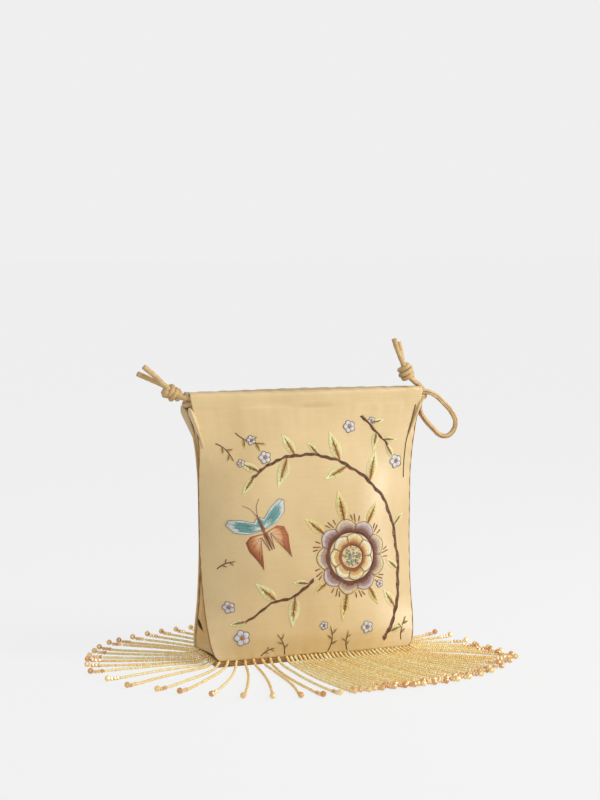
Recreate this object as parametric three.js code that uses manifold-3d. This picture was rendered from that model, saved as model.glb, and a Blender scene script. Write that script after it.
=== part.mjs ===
// A satin drawstring wristlet that stands on its base, with a beaded fringe fanned out on the floor.
// X runs along the bag's width, the embroidered front faces -Y and +Z is up. The origin is the
// middle of the flat underside. All sizes are in millimetres.
import * as THREE from 'three';
import { mergeVertices } from 'three/addons/utils/BufferGeometryUtils.js';
import Module from 'manifold-3d';

// Overall sizes of the bag
const BAG_HEIGHT = 215;
const BASE_LENGTH = 166;
const BASE_DEPTH = 52;
const BODY_LENGTH = 176;
const BELLY_DEPTH = 62;
const SHOULDER_DEPTH = 38;
const CREASE_DEPTH = 13;
const MOUTH_LENGTH = 196;
const MOUTH_GAP = 7;

// Fabric, hem and seams
const WALL = 1.6;
const GUSSET_WALL = 1.2;
const CLEARANCE = 0.3;
const SEAM_LIFT = 5;
const BASE_RISE_WIDTH = 9;
const HEM_HEIGHT = 12.4;
const HEM_WALL = 1.1;
const HEM_OVERLAP = 0.8;
const FULLNESS = 3;

// Leather drawcords
const CORD_DIAMETER = 4.2;
const CORD_PLAY = 0.35;
const KNOT_LENGTH = 19;
const KNOT_DIAMETER = 13;

// Beaded fringe
const TAPE_THICKNESS = 1;
const STRAND_LENGTH = 114;
const STRAND_DIAMETER = 2.2;
const STRAND_PITCH = 6.8;
const SIDE_STRAND_PITCH = 5.8;
const STRAND_EXIT = 2.6;
const DROP_LENGTH = 5;
const STRAND_BOW = 8;
const FLOOR_GAP = 0.05;
const END_RUN = 12.6;
const END_BEAD_DIAMETER = 3.1;
const TIP_BEAD_DIAMETER = 4.7;
const FAN_SIDE_REACH = 100;
const FAN_FRONT_REACH = 113;

// Raised embroidery on the front
const THREAD_RISE = 0.6;
const BLOOM_DIAMETER = 60;
const BLOOM_RING = 38;
const BLOOM_HEART = 17;
const BRANCH_WIDTH = 2.6;
const TWIG_WIDTH = 1.8;
const LEAF_LENGTH = 24;
const BLOSSOM_DIAMETER = 13;
const BUTTERFLY_SPAN = 50;

// Fineness of the facets
const PANEL_COLUMNS = 10;
const PANEL_ROWS = 12;
const GUSSET_COLUMNS = 8;
const GUSSET_ROWS = 10;
const CORD_SIDES = 8;
const CORD_STEPS = 78;
const STRAND_SIDES = 4;
const BEAD_SIDES = 5;
const STRAND_STEPS = 4;

const wasm = await Module();
wasm.setup();

const bag = new THREE.Group();

function material(colour, roughness, metalness = 0) {
  return new THREE.MeshStandardMaterial({ color: colour, roughness, metalness });
}

const satin = material(0xe2c78f, 0.45);
const gussetSatin = material(0xc9ab70, 0.5);
const leather = material(0xcfae7c, 0.6);
const beadGold = material(0xdcb45c, 0.3, 0.6);

function addPart(name, geometry, finish) {
  const mesh = new THREE.Mesh(geometry, finish.clone());
  mesh.name = name;
  bag.add(mesh);
}

// Solids for joining and cutting, and back again
function toSolid(geometry) {
  const bare = geometry.clone();
  bare.deleteAttribute('normal');
  bare.deleteAttribute('uv');
  const merged = mergeVertices(bare, 1e-4);
  return new wasm.Manifold(new wasm.Mesh({
    numProp: 3,
    vertProperties: new Float32Array(merged.attributes.position.array),
    triVerts: new Uint32Array(merged.index.array),
  }));
}

function toGeometry(solid) {
  const mesh = solid.getMesh();
  const geometry = new THREE.BufferGeometry();
  geometry.setAttribute('position', new THREE.BufferAttribute(new Float32Array(mesh.vertProperties), 3));
  geometry.setIndex(new THREE.BufferAttribute(new Uint32Array(mesh.triVerts), 1));
  return geometry;
}

// A closed wall between two faces, each a grid of points: rows of columns
function wallBetween(outside, inside) {
  const rows = outside.length;
  const columns = outside[0].length;
  const count = rows * columns;
  const points = [...outside.flat(), ...inside.flat()].flatMap((p) => [p.x, p.y, p.z]);
  const triangles = [];
  const quad = (a, b, c, d) => triangles.push(a, b, c, a, c, d);
  for (let r = 0; r < rows - 1; r += 1) {
    for (let c = 0; c < columns - 1; c += 1) {
      const a = r * columns + c;
      quad(a, a + 1, a + columns + 1, a + columns);
      quad(count + a, count + a + columns, count + a + columns + 1, count + a + 1);
    }
  }
  const rim = [];
  for (let c = 0; c < columns - 1; c += 1) rim.push(c);
  for (let r = 0; r < rows - 1; r += 1) rim.push(r * columns + columns - 1);
  for (let c = columns - 1; c > 0; c -= 1) rim.push((rows - 1) * columns + c);
  for (let r = rows - 1; r > 0; r -= 1) rim.push(r * columns);
  rim.forEach((a, k) => {
    const b = rim[(k + 1) % rim.length];
    quad(a, count + a, count + b, b);
  });
  const geometry = new THREE.BufferGeometry();
  geometry.setAttribute('position', new THREE.BufferAttribute(new Float32Array(points), 3));
  geometry.setIndex(triangles);
  return outwards(geometry);
}

// Turns every triangle round where the faces point inwards
function outwards(geometry) {
  const p = geometry.attributes.position;
  const index = geometry.index;
  const [a, b, c] = [new THREE.Vector3(), new THREE.Vector3(), new THREE.Vector3()];
  let volume = 0;
  for (let i = 0; i < index.count; i += 3) {
    a.fromBufferAttribute(p, index.getX(i));
    b.fromBufferAttribute(p, index.getX(i + 1));
    c.fromBufferAttribute(p, index.getX(i + 2));
    volume += a.dot(b.cross(c));
  }
  if (volume < 0) {
    for (let i = 0; i < index.count; i += 3) {
      const first = index.getX(i);
      index.setX(i, index.getX(i + 1));
      index.setX(i + 1, first);
    }
  }
  return geometry;
}

// The value at a place along a list of [place, value] pairs, in straight lines between them
function along(pairs, place) {
  const next = pairs.findIndex((pair) => pair[0] >= place);
  if (next <= 0) return next === 0 ? pairs[0][1] : pairs[pairs.length - 1][1];
  const [from, to] = [pairs[next - 1], pairs[next]];
  return THREE.MathUtils.lerp(from[1], to[1], (place - from[0]) / (to[0] - from[0]));
}

// The body's shape at each height
const tunnelWidth = CORD_DIAMETER + 2 * CORD_PLAY;
const hemThickness = tunnelWidth + 2 * HEM_WALL;
const hemCentre = MOUTH_GAP / 2 + hemThickness / 2;
const hemBottom = BAG_HEIGHT - HEM_HEIGHT;
const mouthFace = MOUTH_GAP / 2 + hemThickness - CORD_PLAY / 2;

const share = (height) => (height - SEAM_LIFT) / (hemBottom - SEAM_LIFT);

const halfLength = (height) => along([
  [0, BASE_LENGTH / 2], [0.15, BODY_LENGTH / 2 - 1], [0.35, BODY_LENGTH / 2],
  [0.85, BODY_LENGTH / 2 + 1], [1, MOUTH_LENGTH / 2 - 1],
], share(height));

// Half the depth from outside to outside, at the seams and at mid-width
const seamFace = (height) => along([
  [0, BASE_DEPTH / 2], [0.12, BASE_DEPTH * 0.33], [0.22, CREASE_DEPTH * 0.85],
  [0.4, CREASE_DEPTH / 2], [0.62, CREASE_DEPTH / 2], [0.85, mouthFace], [1, mouthFace],
], share(height));
const bellyFace = (height) => along([
  [0, BASE_DEPTH / 2], [0.1, BELLY_DEPTH / 2], [0.3, BELLY_DEPTH / 2],
  [0.5, (BELLY_DEPTH + SHOULDER_DEPTH) / 4 + 1], [0.72, SHOULDER_DEPTH / 2], [0.9, mouthFace + 2],
  [1, mouthFace],
], share(height));

function panelDepth(across, height) {
  const rise = 1 - Math.abs(across) ** FULLNESS;
  return seamFace(height) + (bellyFace(height) - seamFace(height)) * rise;
}

// A grid over a panel, standing proud of its outer face by the given amount. side is -1 in front.
function panelGrid(side, proud, bottom, top) {
  const grid = [];
  for (let r = 0; r <= PANEL_ROWS; r += 1) {
    const height = bottom + ((top - bottom) * r) / PANEL_ROWS;
    const row = [];
    for (let c = 0; c <= PANEL_COLUMNS; c += 1) {
      const across = Math.sin(((c / PANEL_COLUMNS) * 2 - 1) * (Math.PI / 2));
      const y = side * (panelDepth(across, height) + proud);
      row.push(new THREE.Vector3(across * halfLength(height), y, height));
    }
    grid.push(row);
  }
  return grid;
}

// A section drawn in the YZ plane and drawn out along X
function alongX(shape, length) {
  const settings = { depth: length, bevelEnabled: false, curveSegments: 3 };
  const geometry = new THREE.ExtrudeGeometry(shape, settings);
  const turn = new THREE.Matrix4().makeBasis(
    new THREE.Vector3(0, 1, 0), new THREE.Vector3(0, 0, 1), new THREE.Vector3(1, 0, 0),
  );
  return geometry.applyMatrix4(turn).translate(-length / 2, 0, 0);
}

function roundedRectangle(width, height, radius, Kind = THREE.Shape) {
  const [w, h] = [width / 2, height / 2];
  const outline = new Kind();
  outline.moveTo(-w + radius, -h);
  outline.lineTo(w - radius, -h);
  outline.absarc(w - radius, -h + radius, radius, -Math.PI / 2, 0);
  outline.lineTo(w, h - radius);
  outline.absarc(w - radius, h - radius, radius, 0, Math.PI / 2);
  outline.lineTo(-w + radius, h);
  outline.absarc(-w + radius, h - radius, radius, Math.PI / 2, Math.PI);
  outline.lineTo(-w, -h + radius);
  outline.absarc(-w + radius, -h + radius, radius, Math.PI, 1.5 * Math.PI);
  return outline;
}

// Front and back panels, each with its hem folded into an open tunnel for the two cords
const tunnelHeight = 2 * CORD_DIAMETER + 3 * CORD_PLAY;
const tunnelMiddle = BAG_HEIGHT - HEM_HEIGHT / 2;

function hemTunnel(side) {
  const section = roundedRectangle(hemThickness, HEM_HEIGHT, hemThickness * 0.35);
  section.holes.push(roundedRectangle(tunnelWidth, tunnelHeight, tunnelWidth * 0.3, THREE.Path));
  return alongX(section, MOUTH_LENGTH).translate(0, side * hemCentre, tunnelMiddle);
}

function panel(side) {
  const top = hemBottom + HEM_OVERLAP;
  const wall = wallBetween(panelGrid(side, 0, SEAM_LIFT, top), panelGrid(side, -WALL, SEAM_LIFT, top));
  return toGeometry(toSolid(wall).add(toSolid(hemTunnel(side))));
}

addPart('front_panel', panel(-1), satin);
addPart('back_panel', panel(1), satin);

// Side gussets: flat at the base, and folded inwards between the panels higher up
function gussetGrid(side, proud) {
  const bottom = SEAM_LIFT + CLEARANCE;
  const top = hemBottom - CLEARANCE;
  const grid = [];
  for (let r = 0; r <= GUSSET_ROWS; r += 1) {
    const height = bottom + ((top - bottom) * r) / GUSSET_ROWS;
    const half = seamFace(height) - WALL - CLEARANCE - GUSSET_WALL / 2;
    const fold = Math.sqrt(Math.max(0, (BASE_DEPTH / 2) ** 2 - seamFace(height) ** 2));
    const edge = halfLength(height) - GUSSET_WALL;
    const row = [];
    for (let c = 0; c <= GUSSET_COLUMNS; c += 1) {
      const s = (c / GUSSET_COLUMNS) * 2 - 1;
      const normal = new THREE.Vector2(half, -2 * fold * s).normalize();
      const x = edge - fold * (1 - s * s) + normal.x * proud;
      row.push(new THREE.Vector3(side * x, s * half + normal.y * proud, height));
    }
    grid.push(row);
  }
  return grid;
}

function gusset(side) {
  return wallBetween(gussetGrid(side, GUSSET_WALL / 2), gussetGrid(side, -GUSSET_WALL / 2));
}

addPart('left_gusset', gusset(-1), gussetSatin);
addPart('right_gusset', gusset(1), gussetSatin);

// The base: flat on the floor, and rising at its edge to the seam all round
const baseHalfLength = BASE_LENGTH / 2 - TAPE_THICKNESS - CLEARANCE;
const baseHalfDepth = BASE_DEPTH / 2 - TAPE_THICKNESS - CLEARANCE;

function baseGrid(lift) {
  const stations = (half) => [-half, -half + BASE_RISE_WIDTH, 0, half - BASE_RISE_WIDTH, half];
  const rise = SEAM_LIFT - CLEARANCE - WALL;
  const inset = (value, half) => Math.min(1, (half - Math.abs(value)) / BASE_RISE_WIDTH);
  return stations(baseHalfDepth).map((y) => stations(baseHalfLength).map((x) => {
    const level = Math.min(inset(x, baseHalfLength), inset(y, baseHalfDepth));
    return new THREE.Vector3(x, y, lift + rise * (1 - level));
  }));
}

addPart('base_panel', wallBetween(baseGrid(WALL), baseGrid(0)), gussetSatin);

// One strand of the fringe: a thin run of seed beads that ends in larger beads and a round one
const strandRadius = STRAND_DIAMETER / 2;

// A strand on the floor plan: it bows a little on its way towards its tip, and one whose tip lies
// near is trimmed shorter
function strandPlan(start, tip, outward) {
  const run = tip.clone().sub(start);
  const bow = THREE.MathUtils.degToRad(STRAND_BOW);
  const full = Math.min(STRAND_LENGTH, (run.length() * bow) / Math.sin(bow));
  const radius = full / (2 * bow);
  const ahead = run.clone().normalize();
  const aside = new THREE.Vector2(-ahead.y, ahead.x);
  if (aside.dot(outward) < 0) aside.negate();
  const place = (length) => {
    const turn = bow * ((2 * length) / full - 1);
    const forward = radius * (Math.sin(bow) + Math.sin(turn));
    const sideways = radius * (Math.cos(turn) - Math.cos(bow));
    return start.clone().addScaledVector(ahead, forward).addScaledVector(aside, sideways);
  };
  return { full, place };
}

function roundSection(diameter, sides) {
  const outline = new THREE.Shape();
  for (let k = 0; k < sides; k += 1) {
    const angle = (2 * Math.PI * (k + 0.5)) / sides;
    const [x, y] = [Math.cos(angle) * (diameter / 2), Math.sin(angle) * (diameter / 2)];
    if (k === 0) outline.moveTo(x, y);
    else outline.lineTo(x, y);
  }
  outline.closePath();
  return outline;
}

function tube(points, diameter, sides, steps) {
  const path = new THREE.CatmullRomCurve3(points, false, 'centripetal');
  return new THREE.ExtrudeGeometry(roundSection(diameter, sides), { steps, extrudePath: path });
}

function endBeads(from, towards) {
  const [bead, tip] = [END_BEAD_DIAMETER / 2, TIP_BEAD_DIAMETER / 2];
  const neck = END_RUN - TIP_BEAD_DIAMETER;
  const profile = [
    [0, 0], [bead, bead], [bead * 0.7, neck], [tip, END_RUN - tip], [0, END_RUN],
  ].map(([out, up]) => new THREE.Vector2(out, up));
  const turn = new THREE.Quaternion().setFromUnitVectors(
    new THREE.Vector3(0, 1, 0), towards.clone().sub(from).normalize(),
  );
  const beads = new THREE.LatheGeometry(profile, BEAD_SIDES);
  return beads.applyQuaternion(turn).translate(from.x, from.y, from.z);
}

function strand(start, tip, outward) {
  const plan = strandPlan(start, tip, outward);
  const level = (length) => strandRadius + FLOOR_GAP
    + (STRAND_EXIT - strandRadius) * Math.exp(-length / DROP_LENGTH);
  const place = (length) => {
    const point = plan.place(length);
    return new THREE.Vector3(point.x, point.y, level(length));
  };
  const beadedFrom = plan.full - END_RUN;
  const stops = [0, 0.08, 0.36, 0.68, 1].map((part) => part * beadedFrom);
  const string = tube(stops.map(place), STRAND_DIAMETER, STRAND_SIDES, STRAND_STEPS);
  const from = place(beadedFrom - strandRadius);
  from.z = END_BEAD_DIAMETER / 2 + FLOOR_GAP;
  const towards = place(plan.full - TIP_BEAD_DIAMETER / 2);
  towards.z = TIP_BEAD_DIAMETER / 2 + FLOOR_GAP;
  return toSolid(string).add(toSolid(endBeads(from, towards)));
}

// The fringe: a narrow tape under the seam on each side, with its strands spread out on the floor.
// Their tips lie along a curve: hundredths of the fan's half length rightwards, and of its half
// depth backwards.
const fringeSides = {
  front: {
    from: [-1, -1], to: [1, -1], span: BASE_LENGTH,
    tips: [
      [-80, -60], [-51, -88], [-20, -100], [0, -99], [17, -100], [29, -97], [45, -93], [64, -81], [84, -56],
    ],
  },
  right: {
    from: [1, -1], to: [1, 1], span: BASE_DEPTH,
    tips: [[84, -50], [82.5, -40], [80, -30], [77, -20], [76.5, -9], [74.5, 9], [70, 19], [62, 36]],
  },
  back: {
    from: [1, 1], to: [-1, 1], span: BASE_LENGTH,
    tips: [
      [58, 49], [49.5, 58.5], [39, 67], [20, 75], [-7, 79], [-32, 81], [-57, 73], [-80, 56],
    ],
  },
  left: {
    from: [-1, 1], to: [-1, -1], span: BASE_DEPTH,
    tips: [[-86, 47], [-93, 30], [-97, 14], [-99, -14], [-90, -47]],
  },
};

const fanHalfLength = BASE_LENGTH / 2 + FAN_SIDE_REACH;
const fanHalfDepth = BASE_DEPTH / 2 + FAN_FRONT_REACH;
function fringe({ from, to, span, tips }) {
  const tipLine = new THREE.SplineCurve(tips.map(([across, back]) => (
    new THREE.Vector2((across / 100) * fanHalfLength, (back / 100) * fanHalfDepth))));
  const corner = ([x, y]) => new THREE.Vector2((x * BASE_LENGTH) / 2, (y * BASE_DEPTH) / 2);
  const [a, b] = [corner(from), corner(to)];
  const edge = b.clone().sub(a).normalize();
  const outward = new THREE.Vector2(edge.y, -edge.x);
  const lengthwise = Math.abs(edge.x) > 0.5;
  const tapeSpan = span - (lengthwise ? 0 : 2 * (TAPE_THICKNESS + CLEARANCE));
  const tapeHeight = SEAM_LIFT - 2 * CLEARANCE;
  const tape = lengthwise
    ? new THREE.BoxGeometry(tapeSpan, TAPE_THICKNESS, tapeHeight)
    : new THREE.BoxGeometry(TAPE_THICKNESS, tapeSpan, tapeHeight);
  const middle = a.clone().add(b).multiplyScalar(0.5).addScaledVector(outward, -TAPE_THICKNESS / 2);
  tape.translate(middle.x, middle.y, SEAM_LIFT / 2);
  const widest = lengthwise ? STRAND_PITCH : SIDE_STRAND_PITCH;
  const count = Math.round((tapeSpan - widest / 2) / widest);
  const pitch = tapeSpan / count;
  let solid = toSolid(tape);
  for (let k = 0; k < count; k += 1) {
    const start = middle.clone().addScaledVector(edge, (k + 0.5 - count / 2) * pitch);
    solid = solid.add(strand(start, tipLine.getPoint(k / (count - 1)), outward));
  }
  return toGeometry(solid);
}

Object.entries(fringeSides).forEach(([side, layout]) => {
  addPart(`${side}_fringe`, fringe(layout), beadGold);
});

// The drawcords: each runs through both tunnels, with its two ends knotted together at one ear and
// its loop at the other. The left cord lies over the right one.
const upperLane = tunnelMiddle + CORD_DIAMETER / 2 + CORD_PLAY / 2;
const lowerLane = tunnelMiddle - CORD_DIAMETER / 2 - CORD_PLAY / 2;
const ear = MOUTH_LENGTH / 2;

// Points past an ear: how far out, across the depth, and how far over the tunnel's middle
const pastEar = (side, points) => points.map(([out, y, up]) => [side * (ear + out), y, tunnelMiddle + up]);
const inTunnel = (side, lane, ...places) => places.map((x) => [x, side * hemCentre, lane]);

const leftCordRoute = [
  ...pastEar(-1, [
    [35.5, -5, 27.5], [27, -4, 20.5], [18, -2.4, 12], [11, -3, 6.5], [6, -6, 3],
  ]),
  ...inTunnel(-1, upperLane, -ear - 2, -ear + 5, 0, ear - 5, ear + 0.8),
  ...pastEar(1, [
    [6.5, -7.8, 1.3], [14, -5, -2], [22, -1.5, -8], [30, 1.4, -15.5], [35.2, 3.4, -24],
    [34.5, 4.8, -31.5], [29.5, 5.6, -36.5], [23, 6, -36], [16, 6.2, -30], [9.5, 6.6, -23],
    [5.4, 8, -16], [6, 10.2, -9], [8, 11, -3.6], [7.4, 9.6, 0.8],
  ]),
  ...inTunnel(1, upperLane, ear + 0.8, ear - 5, 0, -ear + 5, -ear - 2),
  ...pastEar(-1, [
    [6, 6, 3], [11, 3, 6.5], [18, 1.8, 12], [28.5, 2, 17], [39, 1, 21.7],
  ]),
];

const rightCordRoute = [
  ...pastEar(1, [
    [-22.5, -3, 45], [-19, -2.2, 36], [-15, -2.1, 27], [-10.4, -2, 16.9],
    [-4.5, -1.8, 10.4], [1.5, -1.8, 5.5], [4.6, -2.2, 0.6], [4, -4.2, -2.4],
  ]),
  ...inTunnel(-1, lowerLane, ear + 1, ear - 5, 0, -ear + 5, -ear - 0.8),
  ...pastEar(-1, [[4.2, -4.6, -4.4], [5.4, 0, -6.4], [4.2, 4.6, -4.4]]),
  ...inTunnel(1, lowerLane, -ear - 0.8, -ear + 5, 0, ear - 5, ear + 0.6),
  ...pastEar(1, [
    [3.8, 3.6, -2], [4, 1.8, 2.4], [0.5, 1.8, 7.4], [-5.5, 1.8, 12.4], [-10.4, 2, 17.9],
    [-13, 2.2, 27], [-14.6, 2.3, 35], [-16, 3.2, 42.5],
  ]),
];

function knot(centre, axis) {
  const [length, radius] = [KNOT_LENGTH, KNOT_DIAMETER / 2];
  const profile = [
    [0, -0.5], [0.62, -0.46], [0.94, -0.34], [0.8, -0.2], [1, -0.06], [0.82, 0.1], [0.9, 0.22],
    [0.68, 0.36], [0.6, 0.46], [0, 0.5],
  ].map(([out, up]) => new THREE.Vector2(out * radius, up * length));
  const turn = new THREE.Quaternion().setFromUnitVectors(
    new THREE.Vector3(0, 1, 0), new THREE.Vector3(...axis).normalize(),
  );
  return new THREE.LatheGeometry(profile, CORD_SIDES + 2).applyQuaternion(turn).translate(...centre);
}

function drawcord(route, knotCentre, knotAxis) {
  const points = route.map(([x, y, z]) => new THREE.Vector3(x, y, z));
  const cord = toSolid(tube(points, CORD_DIAMETER, CORD_SIDES, CORD_STEPS));
  return toGeometry(cord.add(toSolid(knot(knotCentre, knotAxis))));
}

const [leftKnot] = pastEar(-1, [[12.2, 0, 6.4]]);
const [rightKnot] = pastEar(1, [[-10.4, 0, 17.5]]);
addPart('drawcord_left', drawcord(leftCordRoute, leftKnot, [-19, 0, 15]), leather);
addPart('drawcord_right', drawcord(rightCordRoute, rightKnot, [-6, 0, 13]), leather);

// Embroidery, raised from the satin. Places on the front are in hundredths: across from the middle
// to a side seam, and up from the bottom seam to the hem.
const threadLayer = toSolid(wallBetween(
  panelGrid(-1, CLEARANCE + THREAD_RISE, SEAM_LIFT, hemBottom),
  panelGrid(-1, CLEARANCE, SEAM_LIFT, hemBottom),
));

function onFront([across, up]) {
  const height = SEAM_LIFT + (up / 100) * (hemBottom - SEAM_LIFT);
  return new THREE.Vector2((across / 100) * (BODY_LENGTH / 2), height);
}

function stitched(name, shape, finish) {
  const prism = new THREE.ExtrudeGeometry(shape, { depth: BELLY_DEPTH, bevelEnabled: false });
  const turn = new THREE.Matrix4().makeBasis(
    new THREE.Vector3(1, 0, 0), new THREE.Vector3(0, 0, 1), new THREE.Vector3(0, -1, 0),
  );
  addPart(name, toGeometry(toSolid(prism.applyMatrix4(turn)).intersect(threadLayer)), finish);
}

// A round flower's outline, with its edge scalloped into petals
function rosette(place, diameter, petals, dip, points = 5) {
  const outline = [];
  for (let k = 0; k < petals * points; k += 1) {
    const turn = (2 * Math.PI * k) / (petals * points);
    const radius = (diameter / 2) * (1 - dip * (1 - Math.abs(Math.sin((petals * turn) / 2))));
    outline.push(new THREE.Vector2(Math.cos(turn), Math.sin(turn)).multiplyScalar(radius).add(place));
  }
  return new THREE.Shape(outline);
}

function petalRing(place, diameter, petals, dip, hole) {
  const shape = rosette(place, diameter, petals, dip);
  const inner = new THREE.Path();
  inner.absarc(place.x, place.y, hole / 2 + CLEARANCE, 0, 2 * Math.PI);
  shape.holes.push(inner);
  return shape;
}

const roseThread = material(0xb98a72, 0.5);
const creamThread = material(0xf0e2c0, 0.5);
const tealThread = material(0x5f9d90, 0.5);
const barkThread = material(0x4f2c14, 0.5);
const leafThread = material(0xc8c47a, 0.5);
const whiteThread = material(0xe6e2e6, 0.5);
const wingThread = material(0x8fb5ae, 0.5);
const amberThread = material(0xc98a4a, 0.5);

const bloom = onFront([34, 39]);
stitched('bloom_outer_petals', petalRing(bloom, BLOOM_DIAMETER, 9, 0.16, BLOOM_RING), roseThread);
stitched('bloom_inner_petals', petalRing(bloom, BLOOM_RING, 7, 0.14, BLOOM_HEART), creamThread);
stitched('bloom_heart', rosette(bloom, BLOOM_HEART, 3, 0), tealThread);

// A stem is a ribbon that narrows towards its end
const STEM_TAPER = 0.55;
const stemHalf = (width, t) => (width / 2) * (1 - STEM_TAPER * t);

function stem(places, width) {
  return { width, path: new THREE.SplineCurve(places.map(onFront)) };
}

function stemEdge({ path, width }, t, side, gap = 0) {
  const ahead = path.getTangent(t);
  const aside = new THREE.Vector2(-ahead.y, ahead.x);
  return path.getPoint(t).addScaledVector(aside, side * (stemHalf(width, t) + gap));
}

function ribbon(branch, samples) {
  const places = Array.from({ length: samples + 1 }, (_, k) => k / samples);
  const right = places.map((t) => stemEdge(branch, t, -1));
  const left = places.map((t) => stemEdge(branch, t, 1));
  return new THREE.Shape([...right, ...left.reverse()]);
}

const mainBranch = stem([
  [66, 4], [81, 18], [83, 39], [72, 59], [43, 73], [7, 80], [-30, 79], [-57, 72],
], BRANCH_WIDTH);
const lowerTwig = stem([[-4, 31], [-20, 25], [-43, 22], [-66, 15]], TWIG_WIDTH);
const earTwig = stem([[50, 95], [64, 89], [75, 83]], TWIG_WIDTH);
stitched('main_branch', ribbon(mainBranch, 24), barkThread);
stitched('lower_twig', ribbon(lowerTwig, 9), barkThread);
stitched('ear_twig', ribbon(earTwig, 6), barkThread);

// A leaf grows from a stem's edge. It leans to the left of the stem where its angle is positive.
const LEAF_SLIMNESS = 0.38;
function leaf({ on, at, lean, size }) {
  const length = LEAF_LENGTH * size;
  const root = stemEdge(on, at, Math.sign(lean), CLEARANCE);
  const turn = on.path.getTangent(at).angle() + THREE.MathUtils.degToRad(lean);
  const steps = 5;
  const outline = [];
  for (let k = 0; k < 2 * steps; k += 1) {
    const t = k < steps ? k / steps : 2 - k / steps;
    const half = (k < steps ? -1 : 1) * ((length * LEAF_SLIMNESS) / 2) * Math.sin(Math.PI * t ** 0.8);
    const point = new THREE.Vector2(t * length, half);
    outline.push(point.rotateAround(new THREE.Vector2(), turn).add(root));
  }
  return new THREE.Shape(outline);
}

const leaves = [
  { on: mainBranch, at: 0.05, lean: -48, size: 0.55 },
  { on: mainBranch, at: 0.13, lean: 52, size: 0.8 },
  { on: mainBranch, at: 0.36, lean: -60, size: 0.55 },
  { on: mainBranch, at: 0.52, lean: -62, size: 1 },
  { on: mainBranch, at: 0.64, lean: -48, size: 1 },
  { on: mainBranch, at: 0.61, lean: 55, size: 0.9 },
  { on: mainBranch, at: 0.8, lean: -66, size: 0.8 },
  { on: mainBranch, at: 0.83, lean: 58, size: 1 },
  { on: mainBranch, at: 0.95, lean: -62, size: 0.7 },
  { on: lowerTwig, at: 0.36, lean: 62, size: 1 },
  { on: lowerTwig, at: 0.6, lean: -58, size: 0.9 },
];
leaves.forEach((one, k) => stitched(`leaf_${k + 1}`, leaf(one), leafThread));

// Small five-petalled blossoms, each with its size as a share of the full one
const blossoms = [
  { place: [-70, 9], size: 1 }, { place: [-80, 21], size: 0.75 }, { place: [38, 91], size: 0.8 },
  { place: [84, 76], size: 0.9 }, { place: [48, 10], size: 0.8 },
];
blossoms.forEach(({ place, size }, k) => {
  stitched(`blossom_${k + 1}`, rosette(onFront(place), BLOSSOM_DIAMETER * size, 5, 0.3, 4), whiteThread);
});

// A butterfly: each pair of wings is drawn for its right half, mirrored and tilted
const butterfly = { middle: onFront([-48, 51]), tilt: THREE.MathUtils.degToRad(22) };

function wings(points) {
  const mirrored = points.map(([x, y]) => [-x, y]).reverse();
  return new THREE.Shape([...points, ...mirrored].map(([x, y]) => {
    const point = new THREE.Vector2(x, y).multiplyScalar(BUTTERFLY_SPAN / 2);
    return point.rotateAround(new THREE.Vector2(), butterfly.tilt).add(butterfly.middle);
  }));
}

const forewings = [
  [0.05, 0.04], [0.5, 0.1], [0.86, 0.3], [1, 0.62], [0.86, 0.72], [0.5, 0.58], [0.16, 0.34], [0.05, 0.46],
];
const hindwings = [
  [0.07, -0.7], [0.14, -0.2], [0.26, -0.4], [0.42, -0.86], [0.5, -1.12], [0.56, -0.8], [0.68, -0.42],
  [0.66, -0.12], [0.46, 0], [0.05, -0.06],
];
stitched('butterfly_forewings', wings(forewings), wingThread);
stitched('butterfly_hindwings', wings(hindwings), amberThread);

export default bag;
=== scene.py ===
import math
import bmesh
import bpy
import numpy as np
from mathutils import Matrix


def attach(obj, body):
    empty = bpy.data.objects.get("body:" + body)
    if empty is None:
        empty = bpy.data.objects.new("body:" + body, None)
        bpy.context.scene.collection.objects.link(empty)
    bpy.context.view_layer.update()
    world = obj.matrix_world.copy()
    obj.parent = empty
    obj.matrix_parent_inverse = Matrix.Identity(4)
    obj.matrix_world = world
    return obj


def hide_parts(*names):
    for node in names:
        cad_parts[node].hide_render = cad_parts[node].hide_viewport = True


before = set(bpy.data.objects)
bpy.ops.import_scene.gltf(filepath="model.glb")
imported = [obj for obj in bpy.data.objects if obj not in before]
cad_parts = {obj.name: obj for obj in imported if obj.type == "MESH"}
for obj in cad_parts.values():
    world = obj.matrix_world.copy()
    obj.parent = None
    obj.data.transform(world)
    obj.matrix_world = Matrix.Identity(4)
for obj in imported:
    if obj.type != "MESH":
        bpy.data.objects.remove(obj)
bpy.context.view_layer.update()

# The photograph's viewpoint. It is 1.4 m from the bag, a little above it and to its front left, and
# it looks slightly down, with a long lens.


def stand(name, data):
    """A new object in the scene."""
    thing = bpy.data.objects.new(name, data)
    bpy.context.scene.collection.objects.link(thing)
    return thing


seen_from = math.radians(-19.19)
camera_data = bpy.data.cameras.new("camera")
camera = stand("camera", camera_data)
camera.location = (1.4 * math.sin(seen_from), -1.4 * math.cos(seen_from), 0.3338)
camera.rotation_euler = (math.radians(90 - 5.21), 0, math.radians(-19.03))
camera_data.sensor_width = 36
camera_data.lens = 78.97
camera_data.dof.use_dof = False
bpy.context.scene.camera = camera

# Leather drawcords. Two pale tan cords, each a thin strip folded round a core, with its seam along
# one side. Each runs through both hems, shows as a loop past one ear and is tied in a knot at the
# other, where its two square-cut ends stick out.
cord_width = 0.0042
hem_depth = 0.00705
upper_lane = 0.211075
lower_lane = 0.206525


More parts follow.
